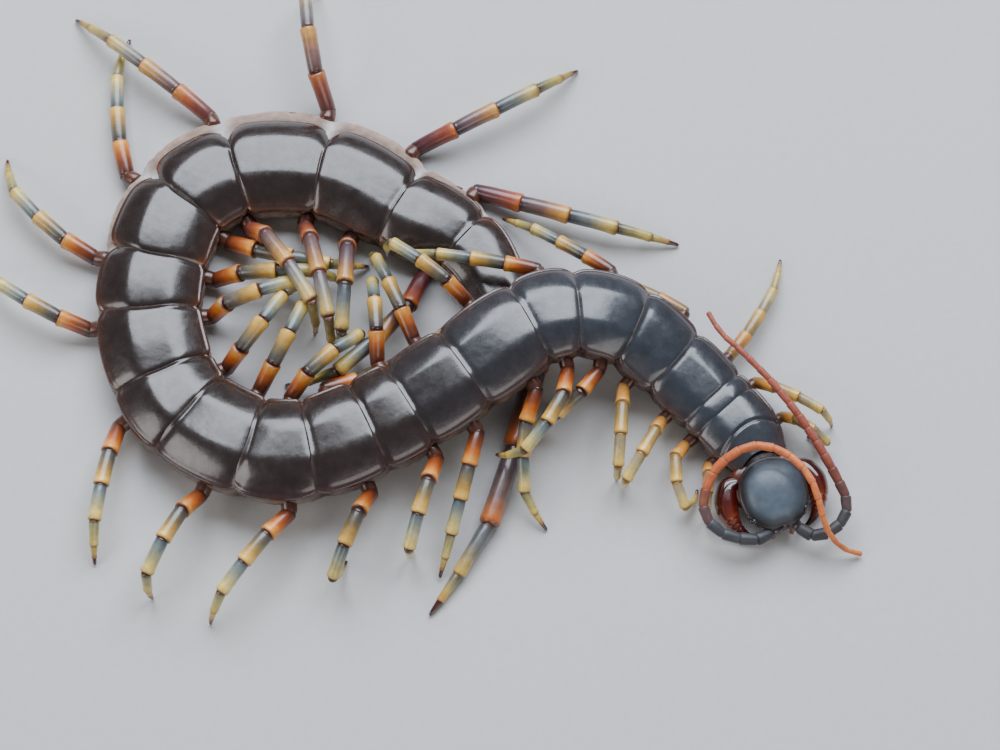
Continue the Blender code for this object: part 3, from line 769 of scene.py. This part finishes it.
# --- Venom claws -----------------------------------------------------------------------------
# The first pair of legs are curved hollow fangs: a bulging base, two short rings and a claw of
# hard dark chitin that drives the venom in. They reach round the head and meet under its nose.
FANG_ROUTE = [(5.9, -3.8, 2.2), (7.8, -3.4, 2.35), (9.1, -0.8, 2.45), (9.0, 2.3, 2.3),
              (8.1, 4.7, 1.95), (6.4, 6.6, 1.65), (4.6, 7.6, 1.3), (3.3, 8.0, 1.2)]
FANG_RADII = [1.9, 2.2, 2.35, 2.1, 1.5, 0.95, 0.5, 0.25]
FANG_JOINTS = [0.50, 0.565, 0.63]
FANG_JOINT_WIDTH, FANG_JOINT_DEPTH = 0.008, 0.16
FANG_COLLAR_PLACE, FANG_COLLAR_WIDTH, FANG_COLLAR_HEIGHT = 0.025, 0.015, 0.05
FANG_TIP_RADIUS = 0.06
FANG_STEPS = 110
FANG_SIDES = 32
FANG_TINTS = {0.0: "#330d0a", 0.25: "#45100a", 0.42: "#5c1c0e", 0.5: "#7a3214", 0.6: "#642010",
              0.7: "#3e120c", 0.85: "#1c0a08", 1.0: "#0c0606"}


def ramp(stops, shares):
    """Colours at shares of a length, between the named ones of a table."""
    keys = sorted(stops)
    return between(keys, np.array([linear(stops[key]) for key in keys]), shares)


fang_parts, fang_tints = [], []
for side in (1, -1):
    path = smooth_route(np.array(FANG_ROUTE) * (side, 1, 1), 20)
    steps = run_of(path)
    shares = np.linspace(0, 1, FANG_STEPS)
    path = between(steps, path, shares * steps[-1])
    radii = np.interp(shares, np.linspace(0, 1, len(FANG_RADII)), FANG_RADII)
    tones = ramp(FANG_TINTS, shares)
    for joint in FANG_JOINTS:
        radii += FANG_COLLAR_HEIGHT * bell(shares - joint + FANG_COLLAR_PLACE,
                                           FANG_COLLAR_WIDTH)
        radii -= FANG_JOINT_DEPTH * bell(shares - joint, FANG_JOINT_WIDTH)
        tones = mix(tones, linear("#1a0a08"), 0.8 * bell(shares - joint, 0.006))
    radii[-1] = FANG_TIP_RADIUS
    fang_parts.append(tube_part(tapered_tube(on_head(path), radii, FANG_SIDES, 0.92)))
    fang_tints.append(np.repeat(tones, FANG_SIDES, axis=0))

# The hardest chitin on the animal, dark red and glassy, black at the points.
fang_finish, tree, clouds = start_finish(
    "glassy_dark_red_chitin", (1.6, 4.0), IOR=1.58, Coat_Weight=0.8, Coat_Roughness=0.05)
end_finish(tree, clouds, (0.8, 1.25), clouds, (0.15, 0.3), (clouds, 0.12, 0.1))
venom_claws = gather("venom_claws", fang_parts, fang_tints, fang_finish)
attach(venom_claws, "root")
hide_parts("forcipule_right", "forcipule_left")


# --- Feelers ---------------------------------------------------------------------------------
# Two long feelers are chains of barrel-shaped rings of downy chitin, dark at the root and
# salmon-coloured beyond. Geometry nodes set one ring after another along the path.
FEELERS = {
    "right": [(52.5, -34.3, 4.5), (51.9, -35.2, 4.7), (50.2, -35.8, 5.0), (47.0, -35.8, 5.4),
              (43.4, -35.0, 6.0), (40.6, -33.0, 6.9), (39.3, -30.0, 8.0), (40.0, -26.4, 9.4),
              (42.0, -23.0, 11.0), (45.6, -20.4, 12.6), (49.8, -19.2, 13.2), (54.1, -20.2, 13.0),
              (58.0, -23.1, 12.8), (60.6, -27.2, 12.0), (61.8, -31.0, 10.4), (62.9, -34.2, 8.2),
              (64.8, -36.2, 5.6), (67.3, -37.2, 2.8), (70.5, -37.5, 0.9)],
    "left": [(58.2, -33.2, 4.3), (59.2, -34.1, 4.4), (61.2, -34.9, 4.6), (64.7, -33.9, 4.8),
             (67.1, -31.1, 5.2), (67.5, -28.1, 6.0), (65.8, -24.3, 7.0), (63.5, -20.2, 8.2),
             (60.9, -15.7, 9.0), (58.2, -11.7, 9.8), (55.7, -8.5, 10.4), (52.9, -5.0, 11.0),
             (50.0, -2.0, 11.4), (47.1, 1.0, 11.8), (44.2, 3.6, 12.0), (42.3, 6.2, 12.0),
             (41.0, 8.8, 12.0)],
}
FEELER_RINGS = 20
FEELER_RADII = (1.3, 0.5)
FEELER_TAPER = 0.85
FEELER_SIDES = 24
SOCKET_REACHES = (3.4, 2.2, 1.1, 0.4, 0.1)
SOCKET_RADII = (0.8, 1.25, 1.35, 1.2, 0.7)
FEELER_BARREL = [(-0.10, 0.50), (-0.06, 0.76), (0.00, 0.87), (0.08, 0.92), (0.30, 0.96),
                 (0.60, 1.0), (0.82, 1.02), (0.90, 1.01), (0.95, 0.96), (0.985, 0.84),
                 (1.0, 0.55)]
# Painted shade: the left feeler is given a darker red-brown than the right, though both are the
# same chitin.
FEELER_TINTS = {
    "right": {0.0: "#2c2c32", 0.2: "#3a3a40", 0.27: "#74422f", 0.33: "#b85a2e", 0.6: "#cc6a34",
              1.0: "#c87034"},
    "left": {0.0: "#2c2c32", 0.2: "#3a3638", 0.3: "#63352a", 0.4: "#8a4232", 1.0: "#9a4c38"},
}

barrel = [(radius * math.cos(turn), place, radius * math.sin(turn))
          for place, radius in FEELER_BARREL
          for turn in turns_of(FEELER_SIDES)]

# Chitin covered in a fine down, so it looks like dull velvet with a pale edge.
feeler_finish, tree, down, clouds = start_finish(
    "downy_salmon_chitin", (0.28, 3.0), (1.8, 2.0), IOR=1.5, Sheen_Weight=0.2,
    Sheen_Roughness=0.4)
both = add_node(tree, "ShaderNodeMath", {0: down, 1: clouds}, operation="ADD")
end_finish(tree, both.outputs[0], (0.7, 1.3), down, (0.38, 0.62), (down, 0.3, 0.06),
           cloud_span=(0.7, 1.3))

for word, route in FEELERS.items():
    line = Route(route)
    away = unit(line.at(2.0) - line.at(0.0))
    root = tapered_tube([line.at(0.0) - away * reach for reach in SOCKET_REACHES],
                        SOCKET_RADII, FEELER_SIDES)
    socket = gather("feeler_socket_" + word, [tube_part(root)], [linear("#30262a")], horn_finish)
    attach(socket, "root")
    bounds = np.linspace(0, 1, FEELER_RINGS + 1)
    knots = line.at(bounds * line.length)
    chords = knots[1:] - knots[:-1]
    shares = (bounds[1:] + bounds[:-1]) / 2
    thick = np.interp(shares ** FEELER_TAPER, (0, 1), FEELER_RADII)
    feeler = set_along(
        "feeler_" + word, (barrel, tube_faces(len(FEELER_BARREL), FEELER_SIDES)), feeler_finish,
        knots[:-1], unit(chords), np.tile((0.0, 0.0, 1.0), (FEELER_RINGS, 1)),
        np.column_stack((thick, np.linalg.norm(chords, axis=1), thick)) * MM,
        ramp(FEELER_TINTS[word], shares))
    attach(feeler, "root")
    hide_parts("antenna_" + word)


# --- Legs ------------------------------------------------------------------------------------
# Forty-two legs, a pair to a segment, each a chain of hollow chitin articles that widen to a
# collar where the next one plugs in. They are stood on the same joints as the solids are, and
# coloured along each article: red-brown, ochre and blue-grey, purple at the hind end.
FEET = {
    "right": [(40.1, -30, 0, 0), (38.8, -24.5, 0, 40), (25, -22.5, 0, -5), (23, -22, 0, 0),
              (11.6, -5.7, 0, -35), (-0.6, -19, 6, -40), (9, -32.3, 0, 70), (-12, -43.3, 0, -5),
              (-17, -37, 0, 0), (-30, -39, 0, 0), (-56, -51.3, 0, 4), (-67.5, -46.3, 0, 10),
              (-79, -39.3, 0, 8), (-104.5, 23.8, 0, -32), (-101.2, 46.6, 0, -50),
              (-77.4, 74.1, 0, -60), (-88.7, 78.8, 0, -5), (-38, 85, 0, -15), (16, 67, 0, 20),
              (40.1, 26.8, 0, 20), (-14.7, -53.3, 0.03, -80)],
    "left": [(61.1, -13.3, 0, 0), (65.8, -11, 0, 0), (57.1, 24.9, 0, -65), (12, 22, 0, -40),
             (-2, 35, 0, -5), (-25, 23.5, 7.5, 0), (-22.5, 23.2, 6, 0), (-26, 24.6, 0, 0),
             (-25.6, 11.8, 0, -5), (-10.5, 10.5, 0, -100), (-29.5, 3, 0, 4), (-40.3, 12.9, 0, -12),
             (-46.3, 12.8, 0, -14), (-43.1, 16.9, 0, -6), (-31.9, 19.4, 0, -3),
             (-26.8, 23.1, 0, -28), (-37.2, 8.3, 0, 9), (-33.7, 4.9, 0, 3), (-31.8, 8.3, 0, 4),
             (-42.6, -2.4, 0, 43), (-59, -11, 0, 85)],
}
LEG_LENGTHS = {1: 17.5, 2: 22.0, 3: 25.0, 6: 29.0, 12: 30.0, 14: 30.5, 15: 32.0, 16: 32.5,
               17: 38.5, 19: 40.0, 20: 43.0, 21: 70.0}
LEG_RADII = {1: 1.2, 3: 1.4, 6: 1.55, 12: 1.7, 19: 1.8, 20: 1.9, 21: 2.6}
LEG_PLACES = {1: 0.38, 6: 0.50, 8: 0.40, 9: 0.15, 10: 0.45, 12: 0.40, 14: 0.95, 16: 0.94,
              18: 0.93, 19: 0.74, 20: 0.78, 21: 0.99}
ARTICLES = [0.235, 0.235, 0.235, 0.165, 0.090, 0.040]
ARTICLE_RADII = [(0.90, 1.00), (0.86, 0.93), (0.77, 0.79), (0.62, 0.52), (0.44, 0.31)]
JOINT_TURNS = [0.8, 0.5, 1.5, 0.4, 0.2]
SIDE_UPPER = (1.0, 0.45)
SIDE_LOWER = (0.93, 0.15)
HIP_GAP = 0.4
COXA_LENGTH = 1.5
COXA_RADII = (0.9025, 0.95, 0.95, 0.931, 0.855, 0.57)
CLAW_DROP = 0.6
MOST_BEND = 1.4
MOST_REACH = 0.985
BEND_TRIES = 40
LEG_SIDES = 20
CLAW_SIDES = 14
ARTICLE_SHAPE = [(-0.055, 0.50), (-0.045, 0.80), (-0.015, 0.95), (0.02, 0.99), (0.035, 0.965),
                 (0.06, 0.985), (0.20, 1.0), (0.42, 0.99), (0.64, 0.98), (0.80, 1.0),
                 (0.88, 1.035), (0.925, 1.05), (0.955, 1.03), (0.975, 0.97), (0.99, 0.85),
                 (1.0, 0.50)]
ARTICLE_BOW = 0.05
ARTICLE_HEIGHT = 1.06
TAPER_END = 0.85
PATCH_PLACE, PATCH_WIDTH = 0.42, 0.26
COXA_TINT = "#4e2616"
LEG_TINTS = [
    {0.0: "#280f0a", 0.12: "#4a1d10", 0.35: "#8a3c14", 0.65: "#c2641a", 0.88: "#dc9438",
     0.955: "#bc7428", 0.985: "#5a2410", 1.0: "#3a140a"},
    {0.0: "#32180e", 0.04: "#443c36", 0.12: "#454a4c", 0.4: "#786c4c", 0.7: "#c0923e",
     0.9: "#e2b452", 0.96: "#c08a38", 0.985: "#5a2a12", 1.0: "#3a160c"},
    {0.0: "#3a1e0e", 0.04: "#4c5458", 0.15: "#58686e", 0.45: "#94997e", 0.8: "#d8be66",
     0.94: "#d2b058", 0.985: "#7a4c20", 1.0: "#4a2410"},
    {0.0: "#5a4424", 0.06: "#7e7c58", 0.4: "#a8a060", 0.85: "#cdb45a", 0.98: "#a07a38",
     1.0: "#5e3418"},
    {0.0: "#8a6c34", 0.2: "#c0a650", 0.7: "#ae863c", 1.0: "#5a2416"},
]
HIND_TINTS = [
    {0.0: "#280e12", 0.1: "#401a20", 0.5: "#5e2a2c", 0.8: "#8a3e28", 0.95: "#b4602a",
     1.0: "#33120e"},
    {0.0: "#2c1216", 0.1: "#4c3c42", 0.45: "#6a4e4c", 0.75: "#a8743c", 0.92: "#d0943c",
     1.0: "#43180e"},
    {0.0: "#38201a", 0.1: "#46505a", 0.5: "#70746e", 0.85: "#ceb258", 1.0: "#4e2410"},
    {0.0: "#4a3420", 0.1: "#5c6048", 0.85: "#bca64c", 1.0: "#5e3418"},
    {0.0: "#6a5428", 0.2: "#a8944a", 0.8: "#9a7436", 1.0: "#4a1e14"},
]
LAST_TINTS = [
    {0.0: "#301c20", 0.3: "#4e383c", 0.7: "#6e463e", 0.93: "#c8662c", 1.0: "#5a2010"},
    {0.0: "#301c20", 0.1: "#4e3a3e", 0.6: "#6a4a40", 0.9: "#c8662c", 1.0: "#5a2010"},
    {0.0: "#3e2818", 0.12: "#4c444a", 0.65: "#6c5650", 0.92: "#c06a30", 1.0: "#4e2010"},
    {0.0: "#4a3420", 0.1: "#565a60", 0.55: "#6e6e66", 0.85: "#bc9c4c", 0.95: "#d2aa48",
     1.0: "#6a4020"},
    {0.0: "#5a4a34", 0.3: "#77765e", 0.7: "#c2a24a", 0.94: "#c08832", 1.0: "#3e1a12"},
]
PATCH_TINT = "#4a2818"
YELLOW_TINT = "#c8a04a"
PINK_TINT = "#a06058"
HIND_SHARES = {16: 0, 17: 0.45, 19: 1}
TONE_SPREAD = 0.10


def leg_joints(number, side):
    """The joints of a leg from its hip to the floor, and the leg's thickness."""
    share = read(LEG_PLACES, number)
    mark = PLATE_STARTS[number - 1] + share * PLATE_LENGTHS[number - 1]
    centre, tailward, right, up = BODY.frame(mark)
    width = 0.5 * read(BODY_WIDTHS, number + share - 0.5)
    swelling = read(SWOLLEN_SIDE, number + share - 0.5) if side == 1 else 0.0
    upper, lower = [centre + right * side * (out * width + swelling)
                    + up * high * 2 * width * HEIGHT_TO_WIDTH
                    for out, high in (SIDE_UPPER, SIDE_LOWER)]
    facing = unit(np.cross(upper - lower, tailward * side))
    root = Vector((upper + lower) / 2 + facing * HIP_GAP)
    start = root + Vector(facing) * COXA_LENGTH
    foot_x, foot_y, foot_z, lean = FEET["right" if side == 1 else "left"][number - 1]
    along = Vector((foot_x, foot_y, foot_z + CLAW_DROP)) - start
    total = float(read(LEG_LENGTHS, number))
    lengths = [share * total for share in ARTICLES]
    reach = min(along.length, MOST_REACH * total)
    direct = along.normalized()
    sideways = direct.cross((0, 0, 1)).normalized()
    arching = Matrix.Rotation(math.radians(lean) * side, 3, direct) @ sideways.cross(direct)

    def chain(bend):
        headings = [0.0]
        for turn in JOINT_TURNS:
            headings.append(headings[-1] - bend * turn)
        span = sum(length * math.cos(heading) for length, heading in zip(lengths, headings))
        rise = sum(length * math.sin(heading) for length, heading in zip(lengths, headings))
        tilt = math.atan2(rise, span)
        return math.hypot(span, rise), [heading - tilt for heading in headings]

    low, high = 0.0, MOST_BEND
    for _ in range(BEND_TRIES):
        middle = (low + high) / 2
        if chain(middle)[0] > reach:
            low = middle
        else:
            high = middle
    joints = [root, start]
    for length, heading in zip(lengths, chain(low)[1]):
        step = direct * math.cos(heading) + arching * math.sin(heading)
        joints.append(joints[-1] + length * step)
    return np.array([tuple(joint) for joint in joints]), float(read(LEG_RADII, number))


def article(near, far, radii, tints, patch=0.0):
    """One article of a leg as a closed tube with a collar at its far end, and its colours."""
    shares, girths = np.array(ARTICLE_SHAPE).T
    length = np.linalg.norm(far - near)
    swing = min(1.0, 2.2 * radii[0] / length)
    places = np.where(shares < 0, shares * swing * 4, shares)
    bow = np.outer(ARTICLE_BOW * length * np.sin(np.pi * np.clip(places, 0, 1)), (0, 0, 0.5))
    path = near + np.outer(places, far - near) + bow
    sizes = girths * np.interp(shares, (0, TAPER_END), radii)
    rings = tapered_tube(path, sizes, LEG_SIDES, ARTICLE_HEIGHT)
    tones = np.repeat(ramp(tints, np.clip(shares, 0, 1)), LEG_SIDES, axis=0)
    lift = (rings - path[:, None])[..., 2] / sizes[:, None]
    middle = bell(shares - PATCH_PLACE, PATCH_WIDTH)[:, None]
    tones = mix(tones, linear(PATCH_TINT), patch * (np.clip(lift, 0, 1) * middle).ravel())
    return tube_part(rings), tones


# Waxy chitin, thin enough on the legs for light to warm it, with a soft gloss, cloudy colour
# and a surface pitted like orange peel.
leg_finish, tree, clouds, pits = start_finish(
    "waxy_banded_chitin", (1.5, 6.0, 0.6), (0.4, 3.0), IOR=1.55, Coat_Weight=0.35,
    Coat_Roughness=0.12, Subsurface_Weight=0.06, Subsurface_Scale=0.0006)
end_finish(tree, clouds, (0.75, 1.22), pits, (0.26, 0.42), (pits, 0.18, 0.08))

pick = np.random.default_rng(11)
claw_parts, claw_tints = [], []
for word, side in (("right", 1), ("left", -1)):
    for first, last in ((1, 7), (8, 14), (15, 21)):
        parts, tints = [], []
        for number in range(first, last + 1):
            joints, thick = leg_joints(number, side)
            inward = unit(joints[0] - joints[1])
            coxa = [joints[0] + inward * 1.6, joints[0] + inward * 0.6, joints[0],
                    joints[1] + inward * 0.5, joints[1], joints[1] - inward * 0.25]
            rings = tapered_tube(coxa, np.array(COXA_RADII) * thick, LEG_SIDES)
            tone = 1 + TONE_SPREAD * pick.normal()
            parts.append(tube_part(rings))
            tints.append(linear(COXA_TINT) * tone)
            for index, ends in enumerate(ARTICLE_RADII):
                where = joints[index + 1], joints[index + 2], np.array(ends) * thick
                part, tones = article(*where, LEG_TINTS[index], 0.2 if index else 0.5)
                if number == PLATE_COUNT:
                    tones = article(*where, LAST_TINTS[index])[1]
                elif number > 16:
                    tones = mix(tones, article(*where, HIND_TINTS[index])[1],
                                read(HIND_SHARES, number))
                    tones = mix(tones, linear(PINK_TINT), 0.15 if number < 19 else 0.0)
                elif number < 5:
                    tones = mix(tones, linear(YELLOW_TINT), 0.35)
                parts.append(part)
                tints.append(tones * tone)
            heel, tip = joints[-2:]
            path = smooth_route([heel - (tip - heel) * 0.5, heel, tip,
                                 tip - np.array((0, 0, CLAW_DROP - 0.02))], 5)
            sizes = np.interp(np.linspace(0, 1, len(path)), (0, 0.35, 0.7, 1.0),
                              (0.30 * thick, 0.27 * thick, 0.34, 0.12))
            claw_parts.append(tube_part(tapered_tube(path, sizes, CLAW_SIDES)))
            claw_tints.append(linear("#3c1812"))
        group = gather(f"legs_{word}_{first:02d}_{last:02d}", parts, tints, leg_finish)
        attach(group, "root")
        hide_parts(*[f"leg_{word}_{number:02d}" for number in range(first, last + 1)])
leg_claws = gather("leg_claws", claw_parts, claw_tints, fang_finish)
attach(leg_claws, "root")


# --- Floor, light and camera -----------------------------------------------------------------
# A plain pale floor under a large soft box at the back and two fainter ones, to the left and in
# front, like a studio table. The camera looks down steeply, as the photograph does.
FLOOR_HALF = 1.5
CAMERA_HEIGHT = math.radians(70)
CAMERA_DISTANCE = 0.5556
CAMERA_TARGET = Vector((0.0172, -0.0168, 0.0))
LENS = 100.0
SENSOR = 36.0

mesh = bpy.data.meshes.new("floor")
mesh.from_pydata([(-FLOOR_HALF, -FLOOR_HALF, 0), (FLOOR_HALF, -FLOOR_HALF, 0),
                  (FLOOR_HALF, FLOOR_HALF, 0), (-FLOOR_HALF, FLOOR_HALF, 0)], [], [(0, 1, 2, 3)])
floor = bpy.data.objects.new("floor", mesh)
bpy.context.scene.collection.objects.link(floor)
floor_finish, tree, grain = start_finish("matt_pale_card", (1.5, 4.0), Roughness=0.9)
pale = add_node(tree, "ShaderNodeMapRange", {"Value": grain, "To Min": 0.50, "To Max": 0.56})
tree.links.new(pale.outputs[0], tree.nodes["Principled BSDF"].inputs["Base Color"])
mesh.materials.append(floor_finish)


def soft_box(name, place, size, power, colour):
    """A rectangular area light that faces the middle of the animal."""
    light = bpy.data.lights.new(name, "AREA")
    light.shape = "RECTANGLE"
    light.size, light.size_y = size
    light.energy = power
    light.color = colour
    lamp = bpy.data.objects.new(name, light)
    lamp.location = place
    lamp.rotation_euler = (-Vector(place)).to_track_quat("-Z", "Y").to_euler()
    bpy.context.scene.collection.objects.link(lamp)


soft_box("soft_box_above", (0.09, 0.67, 0.88), (1.25, 0.87), 32.0, (0.84, 0.90, 1.0))
soft_box("soft_box_side", (-0.9, -0.35, 0.6), (0.6, 0.5), 4.0, (1.0, 0.98, 0.95))
soft_box("soft_box_front", (0.4, -0.9, 0.5), (0.8, 0.5), 3.0, (1.0, 0.97, 0.93))

world = bpy.data.worlds.new("studio room")
world.use_nodes = True
world.node_tree.nodes["Background"].inputs["Color"].default_value = (0.85, 0.86, 0.9, 1.0)
world.node_tree.nodes["Background"].inputs["Strength"].default_value = 0.22
bpy.context.scene.world = world

lens = bpy.data.cameras.new("camera")
lens.lens = LENS
lens.sensor_width = SENSOR
camera = bpy.data.objects.new("camera", lens)
camera.location = CAMERA_TARGET + CAMERA_DISTANCE * Vector(
    (0.0, -math.cos(CAMERA_HEIGHT), math.sin(CAMERA_HEIGHT)))
camera.rotation_euler = (math.pi / 2 - CAMERA_HEIGHT, 0.0, 0.0)
bpy.context.scene.collection.objects.link(camera)
bpy.context.scene.camera = camera
